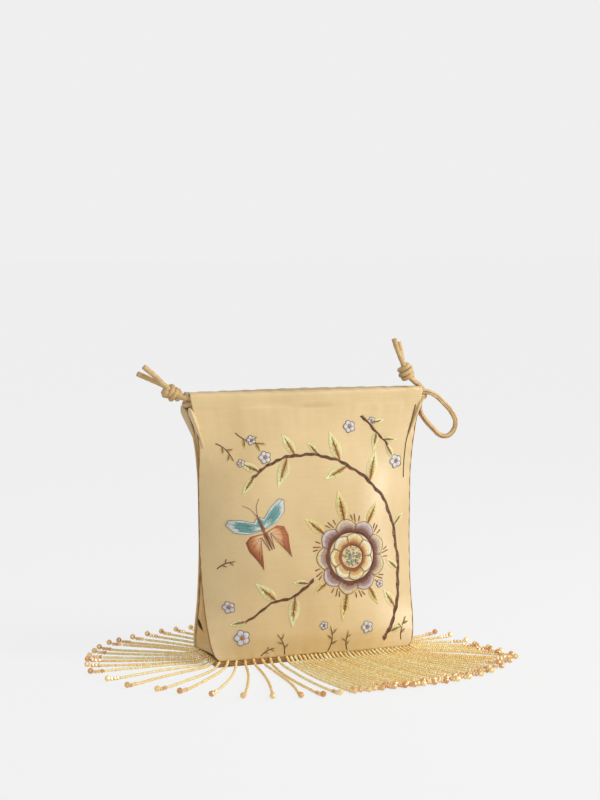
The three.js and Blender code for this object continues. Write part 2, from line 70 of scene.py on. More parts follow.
def smooth_line(points, spacing=0.0008):
    """An even row of points on the smooth line through the given ones."""
    p = np.array(points, float)
    p = np.vstack([2 * p[0] - p[1], p, 2 * p[-1] - p[-2]])
    runs = []
    for a, b, c, d in zip(p[:-3], p[1:-2], p[2:-1], p[3:]):
        t1 = np.linalg.norm(b - a) ** 0.5
        t2 = t1 + np.linalg.norm(c - b) ** 0.5
        t3 = t2 + np.linalg.norm(d - c) ** 0.5
        t = np.linspace(t1, t2, 24, endpoint=False)[:, None]
        ab = (t1 - t) / t1 * a + t / t1 * b
        bc = (t2 - t) / (t2 - t1) * b + (t - t1) / (t2 - t1) * c
        cd = (t3 - t) / (t3 - t2) * c + (t - t2) / (t3 - t2) * d
        abc = (t2 - t) / t2 * ab + t / t2 * bc
        bcd = (t3 - t) / (t3 - t1) * bc + (t - t1) / (t3 - t1) * cd
        runs.append((t2 - t) / (t2 - t1) * abc + (t - t1) / (t2 - t1) * bcd)
    line = np.vstack([*runs, p[-2:-1]])
    gone = np.concatenate([[0], np.cumsum(np.linalg.norm(np.diff(line, axis=0), axis=1))])
    even = np.linspace(0, gone[-1], max(2, int(gone[-1] / spacing) + 1))
    return np.stack([np.interp(even, gone, line[:, k]) for k in range(3)], axis=1)


def sweep(line, outline, girth=None):
    """Points and faces of a closed outline carried along a line."""
    ahead = np.gradient(line, axis=0)
    ahead /= np.linalg.norm(ahead, axis=1)[:, None]
    side = np.cross(ahead[0], (0.02, 0.03, 1.0))
    sides = []
    for direction in ahead:
        side = side - direction * np.dot(side, direction)
        side = side / np.linalg.norm(side)
        sides.append(side)
    sides = np.array(sides)
    ups = np.cross(sides, ahead)
    girth = np.ones(len(line)) if girth is None else girth
    rings = outline[None, :, :1] * sides[:, None] + outline[None, :, 1:] * ups[:, None]
    points = (line[:, None] + rings * girth[:, None, None]).reshape(-1, 3)
    n, m = len(line), len(outline)
    faces = [
        (r * m + k, r * m + (k + 1) % m, (r + 1) * m + (k + 1) % m, (r + 1) * m + k)
        for r in range(n - 1) for k in range(m)
    ]
    return points, faces + [tuple(range(m)), tuple(range((n - 1) * m, n * m))]


def make_piece(name, points, faces, finishes, finish_of_face=None, values=None, flat=False):
    """A closed piece of the bag with its finishes; values are numbers kept at its points."""
    mesh = bpy.data.meshes.new(name)
    mesh.from_pydata(np.asarray(points).tolist(), [], faces)
    for value_name, numbers in (values or {}).items():
        numbers = np.asarray(numbers, np.float32)
        kind = "FLOAT" if numbers.ndim == 1 else "FLOAT_COLOR"
        layer = mesh.attributes.new(value_name, kind, "POINT")
        layer.data.foreach_set("value" if numbers.ndim == 1 else "color", numbers.ravel())
    if finish_of_face is not None:
        mesh.polygons.foreach_set("material_index", np.asarray(finish_of_face, np.int32))
    shape = bmesh.new()
    shape.from_mesh(mesh)
    bmesh.ops.recalc_face_normals(shape, faces=shape.faces)
    shape.to_mesh(mesh)
    shape.free()
    for finish in finishes:
        mesh.materials.append(finish)
    mesh.polygons.foreach_set("use_smooth", np.full(len(mesh.polygons), not flat))
    piece = stand(name, mesh)
    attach(piece, "root")
    return piece


def seen(red, green, blue):
    """A colour as it is seen on a screen, from 0 to 255, for a shader."""
    parts = [c / 255 for c in (red, green, blue)]
    return (*[c / 12.92 if c < 0.04045 else ((c + 0.055) / 1.055) ** 2.4 for c in parts], 1)


def new_finish(name, **sockets):
    """A finish with its shader's own sockets set, and its node tree."""
    finish = bpy.data.materials.new(name)
    finish.use_nodes = True
    tree = finish.node_tree
    shader = tree.nodes["Principled BSDF"]
    for socket, value in sockets.items():
        shader.inputs[socket.replace("_", " ")].default_value = value
    return finish, tree, shader


def add_node(tree, kind, wires, **settings):
    """A node with its settings; a wire is a value, or another node's output."""
    node = tree.nodes.new("ShaderNode" + kind)
    for setting, value in settings.items():
        setattr(node, setting, value)
    for socket, value in wires.items():
        if isinstance(value, bpy.types.NodeSocket):
            tree.links.new(value, node.inputs[socket])
        else:
            node.inputs[socket].default_value = value
    return node


def grain(tree, stretch, scale, detail=3.0, roughness=0.5):
    """Noise at the given scale, drawn out along the axes."""
    place = add_node(tree, "TexCoord", {}).outputs["Object"]
    drawn = add_node(tree, "Mapping", {"Vector": place, "Scale": stretch}).outputs["Vector"]
    wires = {"Vector": drawn, "Scale": scale, "Detail": detail, "Roughness": roughness}
    return add_node(tree, "TexNoise", wires).outputs["Fac"]


def between(tree, amount, low, high):
    """A colour between two, each given with the amount that calls for it."""
    ramp = add_node(tree, "ValToRGB", {"Fac": amount})
    for element, (position, colour) in zip(ramp.color_ramp.elements, (low, high)):
        element.position, element.color = position, colour
    return ramp.outputs["Color"]


def combined(tree, operation, first, second):
    return add_node(tree, "Math", {0: first, 1: second}, operation=operation).outputs["Value"]


def stretched(tree, value, low, high):
    """A value spread out so that low becomes 0 and high becomes 1."""
    return add_node(tree, "MapRange", {"Value": value, "From Min": low, "From Max": high}).outputs["Result"]


def kept_at_points(tree, name, output="Fac"):
    return add_node(tree, "Attribute", {}, attribute_name=name).outputs[output]


def add_relief(tree, shader, *layers):
    """Relief in layers of (height, strength, distance), the finest first."""
    below = {}
    for height, strength, distance in layers:
        bump = add_node(tree, "Bump", {"Height": height, "Strength": strength, "Distance": distance, **below})
        below = {"Normal": bump.outputs["Normal"]}
    tree.links.new(below["Normal"], shader.inputs["Normal"])


def mixed(tree, amount, first, second):
    """The first colour, and more of the second as the amount grows."""
    node = tree.nodes.new("ShaderNodeMix")
    node.data_type = "RGBA"
    for key, kind, value in (("Factor", "VALUE", amount), ("A", "RGBA", first), ("B", "RGBA", second)):
        socket = next(s for s in node.inputs if s.name == key and s.type == kind)
        if isinstance(value, bpy.types.NodeSocket):
            tree.links.new(value, socket)
        else:
            socket.default_value = value
    return next(s for s in node.outputs if s.type == "RGBA")


leather, tree, shader = new_finish("cord_leather", Roughness=0.52, Sheen_Weight=0.08)
patches = grain(tree, (1, 1, 1), 160, 4)
pores = grain(tree, (1, 1, 1), 2600, 3)
hide = between(tree, patches, (0.3, seen(194, 157, 102)), (0.72, seen(224, 192, 138)))
in_seam = stretched(tree, kept_at_points(tree, "seam_side"), 0.955, 0.985)
tree.links.new(mixed(tree, in_seam, hide, seen(138, 98, 60)), shader.inputs["Base Color"])
add_relief(tree, shader, (pores, 0.28, 0.0002), (patches, 0.3, 0.0006))

around = np.linspace(0, 2 * math.pi, 18, endpoint=False)
cord_radius = cord_width / 2 * (1 - 0.1 * np.exp(-(around / 0.22) ** 2))
cord_outline = np.stack([np.cos(around), np.sin(around)], axis=1) * cord_radius[:, None]
cord_lines = {}


def leather_cord(name, points):
    """A cord through the given points, with its girth a little uneven as cut leather is."""
    line = cord_lines[name] = smooth_line(points)
    along = np.linspace(0, 1, len(line)) * len(line)
    girth = 1 + 0.025 * np.sin(along * 0.9) + 0.02 * np.sin(along * 0.37 + 1)
    shape, faces = sweep(line, cord_outline, girth)
    seam_side = np.tile(np.cos(around), len(line))
    return make_piece(name, shape, faces, [leather], values={"seam_side": seam_side})


def leather_knot(name, middle, axis, start):
    """The two ends wrapped tight round each other, with one wrap laid slanting over the rest."""
    middle, axis = np.array(middle), np.array(axis) / np.linalg.norm(axis)
    side = np.cross(axis, (0, 1, 0))
    side /= np.linalg.norm(side)
    other = np.cross(axis, side)
    points, faces, seams = [], [], []
    for low, high, turned, wide, first, lean in (
        (-0.0066, 0.0062, 3.3, 0.0043, start, 0.0004), (-0.0040, 0.0044, 0.7, 0.0054, start + 2.4, 0.0012),
    ):
        t = np.linspace(0, 1, 110)
        angle = first + 2 * math.pi * turned * t
        tucked = 0.6 * np.exp(-t / 0.045) + 0.6 * np.exp(-(1 - t) / 0.045)
        out = wide * (0.86 + 0.14 * np.sin(math.pi * t) + 0.04 * np.sin(7 * t + start)) * (1 - tucked)
        up = low + (high - low) * t + lean * np.cos(angle + 0.4)
        line = middle + up[:, None] * axis + out[:, None] * (
            np.cos(angle)[:, None] * side + np.sin(angle)[:, None] * other)
        shape, these = sweep(line, cord_outline * 0.98)
        faces += [tuple(v + sum(map(len, points)) for v in face) for face in these]
        points.append(shape)
        seams.append(np.tile(np.cos(around), len(line)))
    return make_piece(
        name, np.vstack(points), faces, [leather], values={"seam_side": np.concatenate(seams)})


left_knot = leather_knot("left_knot", (-0.1102, 0, 0.2152), (-19, 0, 15), 0.6)
right_knot = leather_knot("right_knot", (0.0876, 0, 0.2263), (-6, 0, 13), 2.4)

left_front_tail = leather_cord("left_front_tail", [
    (-0.084, -hem_depth, upper_lane), (-0.100, -hem_depth, upper_lane), (-0.104, -0.006, 0.2118),
    (-0.109, -0.003, 0.2153), (-0.116, -0.0024, 0.2208), (-0.125, -0.004, 0.2293), (-0.1335, -0.005, 0.2363),
])
left_back_tail = leather_cord("left_back_tail", [
    (-0.084, hem_depth, upper_lane), (-0.100, hem_depth, upper_lane), (-0.104, 0.006, 0.2118),
    (-0.109, 0.003, 0.2153), (-0.116, 0.0021, 0.2208), (-0.1265, 0.0022, 0.2258), (-0.137, 0.001, 0.2305),
])
right_front_tail = leather_cord("right_front_tail", [
    (0.086, -hem_depth, lower_lane), (0.099, -hem_depth, lower_lane), (0.102, -0.0042, 0.2064),
    (0.1026, -0.0022, 0.2094), (0.0995, -0.0021, 0.2143), (0.0935, -0.0021, 0.2192), (0.0876, -0.0021, 0.2257),
    (0.083, -0.0021, 0.2358), (0.079, -0.0022, 0.2448), (0.0755, -0.003, 0.2538),
])
right_back_tail = leather_cord("right_back_tail", [
    (0.086, hem_depth, lower_lane), (0.0986, hem_depth, lower_lane), (0.1018, 0.0038, 0.2068),
    (0.102, 0.0022, 0.2112), (0.0985, 0.0021, 0.2162), (0.0925, 0.0021, 0.2212), (0.0876, 0.0021, 0.2267),
    (0.085, 0.0022, 0.2358), (0.0834, 0.0023, 0.2438), (0.082, 0.0032, 0.2513),
])
right_loop = leather_cord("right_loop", [
    (0.086, -hem_depth, upper_lane), (0.0988, -hem_depth, upper_lane), (0.1045, -0.0078, 0.2101),
    (0.112, -0.005, 0.2068), (0.120, -0.0015, 0.2008), (0.128, 0.0014, 0.1933), (0.1332, 0.0034, 0.1848),
    (0.1325, 0.0048, 0.1773), (0.1275, 0.0056, 0.1723), (0.121, 0.006, 0.1728), (0.114, 0.0062, 0.1788),
    (0.1075, 0.0066, 0.1858), (0.1034, 0.008, 0.1928), (0.104, 0.0102, 0.1998), (0.106, 0.011, 0.2052),
    (0.1054, 0.0096, 0.2096), (0.0988, hem_depth, upper_lane), (0.086, hem_depth, upper_lane),
])
left_bight = leather_cord("left_bight", [
    (-0.086, -hem_depth, lower_lane), (-0.0960, -hem_depth, lower_lane), (-0.0984, -0.0046, 0.2060),
    (-0.0992, 0, 0.2054), (-0.0984, 0.0046, 0.2060), (-0.0960, hem_depth, lower_lane),
    (-0.086, hem_depth, lower_lane),
])
for cord, side, lane, length, far_end, lay, knots in (
    (right_loop, (1, -1), upper_lane, 0.147, "object", "hanging", []),
    (left_bight, (-1, -1), lower_lane, 0.038, "object", "taut", []),
    (left_front_tail, (-1, -1), upper_lane, 0.060, "bare", "taut", [left_knot]),
    (left_back_tail, (-1, 1), upper_lane, 0.059, "bare", "taut", []),
    (right_front_tail, (1, -1), lower_lane, 0.074, "bare", "taut", [right_knot]),
    (right_back_tail, (1, 1), lower_lane, 0.069, "bare", "taut", []),
):
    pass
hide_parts("drawcord_left")
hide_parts("drawcord_right")

# Front and back of the bag. Each is a sheet of heavy champagne satin, stiffened and lined, that
# swells low down and draws in above. Its top is folded inwards and sewn down, so that the fold makes
# the channel for the cords.
seam_lift = 0.005
hem_foot = 0.2026
cloth_thickness = 0.0011


def eased(places, values, at):
    """A smooth curve through values at their places, which never overshoots them."""
    x, y = np.array(places, float), np.array(values, float)
    step, slope = np.diff(x), np.diff(y) / np.diff(x)
    inner = np.where(
        slope[1:] * slope[:-1] > 0, 2 * slope[1:] * slope[:-1] / (slope[1:] + slope[:-1] + 1e-15), 0)
    lean = np.concatenate([[slope[0]], inner, [slope[-1]]])
    at = np.clip(at, x[0], x[-1])
    k = np.clip(np.searchsorted(x, at) - 1, 0, len(step) - 1)
    t = (at - x[k]) / step[k]
    return (
        (2 * t ** 3 - 3 * t ** 2 + 1) * y[k] + (t ** 3 - 2 * t ** 2 + t) * step[k] * lean[k]
        + (3 * t ** 2 - 2 * t ** 3) * y[k + 1] + (t ** 3 - t ** 2) * step[k] * lean[k + 1]
    )


def up_the_bag(shares, values, height):
    """A smooth curve through values at shares of the height from the bottom seam to the hem's foot."""
    return eased(shares, values, (height - seam_lift) / (hem_foot - seam_lift))


def half_length(height, side=-1):
    front = up_the_bag(
        [0, 0.02, 0.06, 0.15, 0.5, 0.8, 0.9, 1],
        [0.0795, 0.0828, 0.0852, 0.087, 0.0891, 0.0897, 0.0915, 0.0958], height)
    back = up_the_bag([0, 0.06, 0.5, 0.8, 0.9, 1], [0.0852, 0.0866, 0.0872, 0.0884, 0.0908, 0.0958], height)
    return np.where(np.asarray(side) < 0, front, back)


def seam_depth(height):
    return up_the_bag(
        [0, 0.12, 0.22, 0.35, 0.47, 0.68, 0.86, 1],
        [0.026, 0.0178, 0.0108, 0.0060, 0.0038, 0.0038, 0.0088, 0.0102], height)


def belly_depth(height):
    return up_the_bag(
        [0, 0.1, 0.3, 0.5, 0.72, 0.9, 1], [0.026, 0.031, 0.031, 0.026, 0.019, 0.0125, 0.0104], height)


def ripples(side, across, height):
    """How far the satin stands in or out where it is drawn up or hangs slack."""
    below_hem = np.maximum(0, hem_foot - height)
    gathers = 0.0001 * np.exp(-below_hem / 0.016) * (
        np.sin(37 * across + 1.3 * side) + 0.7 * np.sin(63 * across + 0.5) + 0.4 * np.sin(101 * across))
    slack = 0.0008 * np.sin(5.2 * across + 24 * height + side) * np.sin(33 * height + 0.9)
    slack += 0.0004 * np.sin(9 * across - 61 * height + 2 * side)
    sewn = 0.00022 * np.exp(-(1 - np.abs(across)) / 0.05) * np.sin(560 * height + 3 * side)
    low = 0.0003 * np.exp(-(height - seam_lift) / 0.006) * np.sin(48 * across + side)
    return (gathers + slack + low) * (1 - np.abs(across) ** 8) + sewn


def satin_face(side, across, height):
    """Points of the middle of the cloth. side is -1 in front, across runs from seam to seam."""
    across, height = np.broadcast_arrays(np.asarray(across, float), np.asarray(height, float))
    fullness = 1 - np.abs(across) ** 3
    depth = seam_depth(height) + (belly_depth(height) - seam_depth(height)) * fullness
    depth = depth + ripples(side, across, height) - cloth_thickness / 2
    return np.stack([across * half_length(height, side), side * depth, height], axis=-1)


def wall(middle, thickness):
    """A closed sheet of cloth round a grid of points, as points, faces and each face's side."""
    down = np.gradient(middle, axis=0)
    over = np.gradient(middle, axis=1)
    normal = np.cross(over, down)
    normal /= np.linalg.norm(normal, axis=2)[:, :, None] + 1e-12
    rows, columns = middle.shape[:2]
    outer = middle + normal * thickness / 2
    inner = middle - normal * thickness / 2
    points = np.vstack([outer.reshape(-1, 3), inner.reshape(-1, 3)])
    n = rows * columns
    faces = [
        (a, a + 1, a + columns + 1, a + columns)
        for r in range(rows - 1) for a in range(r * columns, r * columns + columns - 1)]
    sides = [0] * len(faces) + [1] * len(faces)
    faces += [tuple(n + v for v in reversed(face)) for face in faces]
    rim = [*range(columns - 1), *range(columns - 1, n - 1, columns), *range(n - 1, n - columns, -1),
           *range(n - columns, 0, -columns)]
    for k, a in enumerate(rim):
        b = rim[(k + 1) % len(rim)]
        faces.append((a, n + a, n + b, b))
    return points, faces, sides + [0] * len(rim)


def satin_finish(name, low, high, gloss):
    """Satin: smooth long floats of thread, a few faint slubs, and a soft sheen."""
    finish, tree, shader = new_finish(
        name, Roughness=gloss, Specular_IOR_Level=1.0, Coat_Weight=0.3, Sheen_Weight=0.05)
    shader.inputs["Coat Roughness"].default_value = 0.32
    shader.inputs["Sheen Tint"].default_value = seen(255, 244, 214)
    upright = grain(tree, (1, 1, 0.03), 3600, 1)
    slubs = grain(tree, (0.04, 1, 1), 900, 2)
    clouds = grain(tree, (1, 1, 0.6), 22, 3)
    threads = combined(tree, "ADD", upright, slubs)
    tone = combined(tree, "ADD", combined(tree, "MULTIPLY", threads, 0.22), clouds)
    shade = stretched(tree, tone, 0.42, 1.02)
    tree.links.new(between(tree, shade, (0.1, seen(*low)), (0.9, seen(*high))), shader.inputs["Base Color"])
    add_relief(tree, shader, (threads, 0.1, 0.0001), (clouds, 0.2, 0.004))
    return finish


satin = satin_finish("champagne_satin", (208, 176, 118), (228, 199, 143), 0.4)
lining = satin_finish("lining", (176, 148, 104), (196, 168, 122), 0.6)

# The fold of the hem, from the front face over the top and down inside to where it is sewn
hem_path = np.array([
    [-0.00986, 0.2034], [-0.00992, 0.2068], [-0.01000, 0.2110], [-0.00985, 0.2124], [-0.00925, 0.2135],
    [-0.0083, 0.2142], [-0.00705, 0.21445], [-0.0058, 0.2142], [-0.00485, 0.2135], [-0.00425, 0.2124],
    [-0.00405, 0.2110], [-0.00405, 0.2072], [-0.0046, 0.2052], [-0.0062, 0.2039], [-0.0078, 0.2034],
])
across = np.sin(np.linspace(-1, 1, 101) * math.pi / 2) * 0.6 + np.linspace(-1, 1, 101) * 0.4
for side, name, node in ((-1, "front_satin", "front_panel"), (1, "back_satin", "back_panel")):
    heights = np.linspace(seam_lift, hem_foot - 0.0006, 116)
    face = satin_face(side, across[None, :], heights[:, None])
    ends = [eased([0.2034, 0.2082, 0.2110], [0.0961, 0.0972, 0.0978], z) for _, z in hem_path]
    fold = np.stack([
        np.stack([across * (end + 0.0002 * np.sin(29 * across)), np.full(101, -side * y), np.full(101, z)], axis=1)
        for end, (y, z) in zip(ends, hem_path)])
    wave = 0.00018 * (np.sin(37 * across + 1.3 * side) + 0.6 * np.sin(63 * across + 0.5))
    fold[:, :, 2] += wave + 0.0004 * np.sin(3 * across + 1.5 * side)
    points, faces, sides = wall(np.concatenate([face, fold]), cloth_thickness)
    panel = make_piece(name, points, faces, [satin, lining], finish_of_face=sides)
    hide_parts(node)

# Side gussets. A strip of satin down each side, sewn to the front and the back, flat at the
# base and folded inwards higher up as the neck is drawn in. Its satin is a copy of the front's, painted
# lighter and warmer as painted light against the shade in the fold.
base_depth = 0.052
seam_inset = 0.0022
gusset_thickness = 0.0009
# Painted light: this satin's colours are set lighter and warmer than the front satin's, to make up for the shade in
# the gusset folds.
gusset_satin = satin_finish("gusset_satin", (218, 178, 108), (238, 202, 132), 0.5)


def gusset_face(side, bend, height):
    """Points of the middle of a gusset: bend is -1 at its front seam and 1 at its back seam."""
    front, back = half_length(height), half_length(height, 1)
    reach = front + (back - front) * (bend + 1) / 2
    fold = np.sqrt(np.maximum(0, (base_depth / 2) ** 2 - seam_depth(height) ** 2))
    slack = 0.0006 * np.sin(70 * height + 2 * bend) * (1 - bend ** 2)
    x = reach - seam_inset / 2 - (fold + slack) * (1 - bend ** 2)
    points = side * x, bend * (seam_depth(height) - seam_inset), height
    return np.stack(np.broadcast_arrays(*points), axis=-1)


for side, name, node in ((-1, "left_gusset_satin", "left_gusset"), (1, "right_gusset_satin", "right_gusset")):
    heights = np.linspace(0.0053, 0.2023, 90)[:, None]
    middle = gusset_face(side, np.linspace(-1, 1, 33)[None, :], heights)
    points, faces, sides = wall(middle[:, ::side], gusset_thickness)
    gusset = make_piece(name, points, faces, [gusset_satin, lining], finish_of_face=sides)
    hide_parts(node)

# Seam piping. A fine bronze cord is sewn into the two upright seams in front, and one covered in the
# bag's satin, in the gussets' copy that is painted lighter, into the two at the back.
bronze_thread, tree, shader = new_finish("bronze_piping", Roughness=0.5, Sheen_Weight=0.1)
strands = grain(tree, (1, 1, 0.4), 2400, 2)
colouring = between(tree, strands, (0.35, seen(124, 80, 40)), (0.7, seen(178, 128, 74)))
tree.links.new(colouring, shader.inputs["Base Color"])
add_relief(tree, shader, (strands, 0.4, 0.0002))
eight = np.linspace(0, 2 * math.pi, 8, endpoint=False)
piping_outline = np.stack([np.cos(eight), np.sin(eight)], axis=1) * 0.0006
four_seams = ((-1, -1, "left_front"), (1, -1, "right_front"), (-1, 1, "left_back"), (1, 1, "right_back"))
for x_side, y_side, name in four_seams:
    heights = np.linspace(0.006, 0.2024, 120)
    out = half_length(heights, y_side) + 0.0002
    line = np.stack([x_side * out, y_side * (seam_depth(heights) - 0.0004), heights], axis=1)
    points, faces = sweep(line, piping_outline)
    make_piece(f"{name}_piping", points, faces, [bronze_thread if y_side < 0 else gusset_satin])

# Rolled ears. The turned edge of the front and the back is rolled and sewn over the gusset from each
# end of the hem down to the neck, and thins out into the seam.
thin = np.linspace(0, 1, 90)
heights = 0.2036 - 0.0326 * thin
taper = np.clip((1 - thin) / 0.75, 0, 1) ** 0.8 * np.sqrt(np.clip(thin / 0.14, 0.08, 1))
groove = 1 - 0.25 * np.exp(-((around - 4.9) / 0.4) ** 2)
roll = np.stack([np.cos(around) * 0.0036, np.sin(around) * 0.0018 * groove], axis=1)
for x_side, y_side, name in four_seams:
    start, fullness = (0.0990, 1.3) if x_side < 0 else (0.0962, 0.6)
    out = start - 0.0140 * thin + 0.0020 * thin ** 2
    depth = seam_depth(heights) + 0.0002 + 0.003 * thin * (1 - thin)
    line = np.stack([x_side * out, y_side * depth, heights], axis=1)
    points, faces = sweep(line, roll * fullness, 0.08 + 0.92 * taper)
    make_piece(f"{name}_roll", points, faces, [satin])

# The base. A stiff board covered in the gussets' satin, the copy painted lighter, lies flat inside the
# bottom seam, and the satin turns up round its edge to meet the four sides.
reach = np.array([-1, -0.97, -0.9, -0.6, -0.2, 0.2, 0.6, 0.9, 0.97, 1])
base_x, base_y = np.meshgrid(reach * 0.0817, reach * 0.0247)
inset = np.minimum((0.0817 - np.abs(base_x)) / 0.009, (0.0247 - np.abs(base_y)) / 0.009)
base_z = 0.0008 + 0.0031 * (1 - np.clip(inset, 0, 1)) ** 1.5
points, faces, _ = wall(np.stack([base_x, base_y, base_z], axis=-1), 0.0014)
base = make_piece("base_satin", points, faces, [gusset_satin])
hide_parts("base_panel")

# Embroidery. Silk threads are laid side by side on the front in long and short stitches, shaded from
# one colour into the next, with fine dark lines of stem stitch round the petals. Every stitch goes
# into the satin at both its ends.
silk, tree, shader = new_finish("silk_threads", Roughness=0.42, Sheen_Weight=0.25, Sheen_Roughness=0.3)
dyed = kept_at_points(tree, "thread_colour", "Color")
fibre = grain(tree, (1, 1, 1), 2600, 2)
uneven = between(tree, fibre, (0.3, (0, 0, 0, 1)), (0.8, (0.16, 0.16, 0.16, 1)))
tree.links.new(mixed(tree, uneven, dyed, seen(96, 70, 48)), shader.inputs["Base Color"])
add_relief(tree, shader, (fibre, 0.35, 0.00012))

silk_width = 0.00056
silk_spacing = 0.00046
dice = np.random.default_rng(11)


def on_front(across, up):
    """Metres sideways and up, from hundredths of the way to a side seam and up to the hem."""
    return np.array([across / 100 * 0.088, seam_lift + up / 100 * (hem_foot - seam_lift)])


def front_place(x, z):
    return satin_face(-1, x / half_length(z), z)


def gusset_place(side):
    """The face of a gusset, from metres across its width and up."""
    def place(y, z):
        bend = np.clip(y / (seam_depth(z) - seam_inset), -1, 1)
        return gusset_face(side, bend, z) * (1, side, 1)
    return place


def sew(name, stitches, nodes=(), place=front_place, cloth=cloth_thickness):
    """A piece of embroidery from its stitches: start, end, width, lift, and its two end colours."""
    start, end, width, lift = (np.array([row[k] for row in stitches]) for k in range(4))
    run = end - start
    first, last = (np.array([seen(*row[k]) for row in stitches]) for k in (4, 5))
    shade = dice.normal(1, 0.06, (len(stitches), 1, 1, 1))
    aside = np.stack([-run[:, 1], run[:, 0]], axis=1) / (np.linalg.norm(run, axis=1)[:, None] + 1e-9)
    t = np.array([0, 0.12, 0.5, 0.88, 1])[None, :, None]
    rise = np.array([-0.5, 0.75, 1, 0.75, -0.5])[None, :, None]
    slim = np.array([0.5, 0.95, 1, 0.95, 0.5])[None, :, None]
    sideways = np.array([-0.5, 0, 0.5, 0])[None, None, :]
    upward = np.array([0, 1, 0, -0.7])[None, None, :]
    flat = (start[:, None, None] + run[:, None, None] * t[..., None]
            + aside[:, None, None] * (sideways * slim * width[:, None, None])[..., None])
    x, z, e = flat[..., 0], flat[..., 1], 0.0004
    middle = place(x, z)
    normal = np.cross(place(x + e, z) - place(x - e, z), place(x, z + e) - place(x, z - e))
    normal /= np.linalg.norm(normal, axis=-1)[..., None]
    high = cloth / 2 + lift[:, None, None] + 0.00026 * (rise - 0.15) + 0.00022 * upward
    points = (middle + normal * high[..., None]).reshape(-1, 3)
    colours = first[:, None, None] + (last - first)[:, None, None] * t[..., None] * np.ones((1, 1, 4, 1))
    colours = np.clip(colours * shade, 0, 1).reshape(-1, 4)
    colours[:, 3] = 1
    ring = [
        (s + k, s + (k + 1) % 4, s + 4 + (k + 1) % 4, s + 4 + k) for s in (0, 4, 8, 12) for k in range(4)]
    ring = np.array(ring + [(0, 1, 2, 3), (19, 18, 17, 16)])
    faces = (ring[None] + 20 * np.arange(len(stitches))[:, None, None]).reshape(-1, 4)
    piece = make_piece(name, points, faces.tolist(), [silk], values={"thread_colour": colours})
    if nodes:
        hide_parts(*nodes)
    return piece


def turned(angle):
    return np.array([math.cos(angle), math.sin(angle)])


def mixed_dye(first, second, amount):
    return tuple(a + (b - a) * min(1, max(0, amount)) for a, b in zip(first, second))


def lined(points, width, lift, colour, step=0.0022):
    """Stem stitch along a line, each stitch lapping over the one before."""
    points = np.array(points)
    gone = np.concatenate([[0], np.cumsum(np.linalg.norm(np.diff(points, axis=0), axis=1))])
    count = max(1, round(gone[-1] / step))
    ends = np.linspace(0, gone[-1], count + 1)
    at = np.stack([np.interp(ends, gone, points[:, 0]), np.interp(ends, gone, points[:, 1])], axis=1)
    return [
        (a - (b - a) * 0.15, b + (b - a) * 0.1, width, lift, colour, colour) for a, b in zip(at[:-1], at[1:])]


def shaded_ring(middle, diameter, petals, dip, hole, bands):
    """Long and short stitches that fill a scalloped ring, in bands from its edge to its hole."""
    rows = []
    count = int(math.pi * diameter * 0.86 / silk_spacing)
    for k in range(count):
        angle = 2 * math.pi * k / count
        crest = abs(math.sin(petals * angle / 2))
        edge = diameter / 2 * (1 - dip * (1 - crest))
        for inner, outer, low, high, other_low, other_high in bands:
            odd = math.floor(petals * angle / (2 * math.pi)) % 2
            low, high = (other_low, other_high) if odd else (low, high)
            ragged = dice.uniform(-0.07, 0.07, 2)
            near = hole + (edge - hole) * max(0, inner + (ragged[0] if inner > 0 else 0))
            far = hole + (edge - hole) * min(1, outer + (ragged[1] if outer < 1 else 0))
            notch = 0.55 * max(0, 1 - crest / 0.3)
            rows.append((
                middle + turned(angle) * near, middle + turned(angle + 0.006) * far,
                silk_width, 0.00003 * (outer < 1),
                mixed_dye(low, (112, 62, 34), notch), mixed_dye(high, (146, 92, 54), notch * 0.8)))
    return rows


def scalloped(middle, diameter, petals, dip, points=160):
    angles = np.linspace(0, 2 * math.pi, points + 1)
    radius = diameter / 2 * (1 - dip * (1 - np.abs(np.sin(petals * angles / 2))))
    return middle + np.stack([np.cos(angles), np.sin(angles)], axis=1) * radius[:, None]


def knots(middle, near, far, count, colours):
    """French knots strewn over a ring."""
    rows = []
    for _ in range(count):
        place = middle + turned(dice.uniform(0, 2 * math.pi)) * math.sqrt(dice.uniform(near ** 2, far ** 2))
        lean = turned(dice.uniform(0, 2 * math.pi)) * 0.0004
        colour = colours[dice.integers(len(colours))]
        rows.append((place - lean, place + lean, 0.00085, 0.00018, colour, colour))
    return rows


bloom = on_front(34, 39)
outer = shaded_ring(bloom, 0.060, 9, 0.16, 0.019, [
    (0.68, 1.0, (226, 206, 170), (248, 234, 176), (214, 196, 196), (240, 226, 214)),
    (0.3, 0.76, (150, 96, 66), (222, 206, 196), (136, 84, 60), (206, 184, 184)),
    (0.0, 0.38, (84, 42, 22), (150, 92, 58), (84, 42, 22), (140, 84, 54)),
])
outer += lined(scalloped(bloom, 0.0602, 9, 0.16), 0.00042, 0.0001, (122, 78, 40))
for petal in range(9):
    angle = 2 * math.pi * petal / 9
    notch = 0.030 * 0.84
    outer += lined([bloom + turned(angle) * r for r in (0.0205, notch)], 0.00055, 0.00014, (92, 48, 24))
    for turn, length in ((-0.16, 0.0048), (0.03, 0.0072), (0.2, 0.005)):
        root = bloom + turned(angle + turn * 0.5) * (notch + 0.0016 + 0.002 * abs(turn) * 5)
        tip = root + turned(angle + turn * 1.6 + 0.25) * length
        outer.append((root, tip, 0.00095, 0.00006, (196, 128, 56), (88, 44, 20)))
sew("bloom_outer_stitches", outer, ["bloom_outer_petals"])

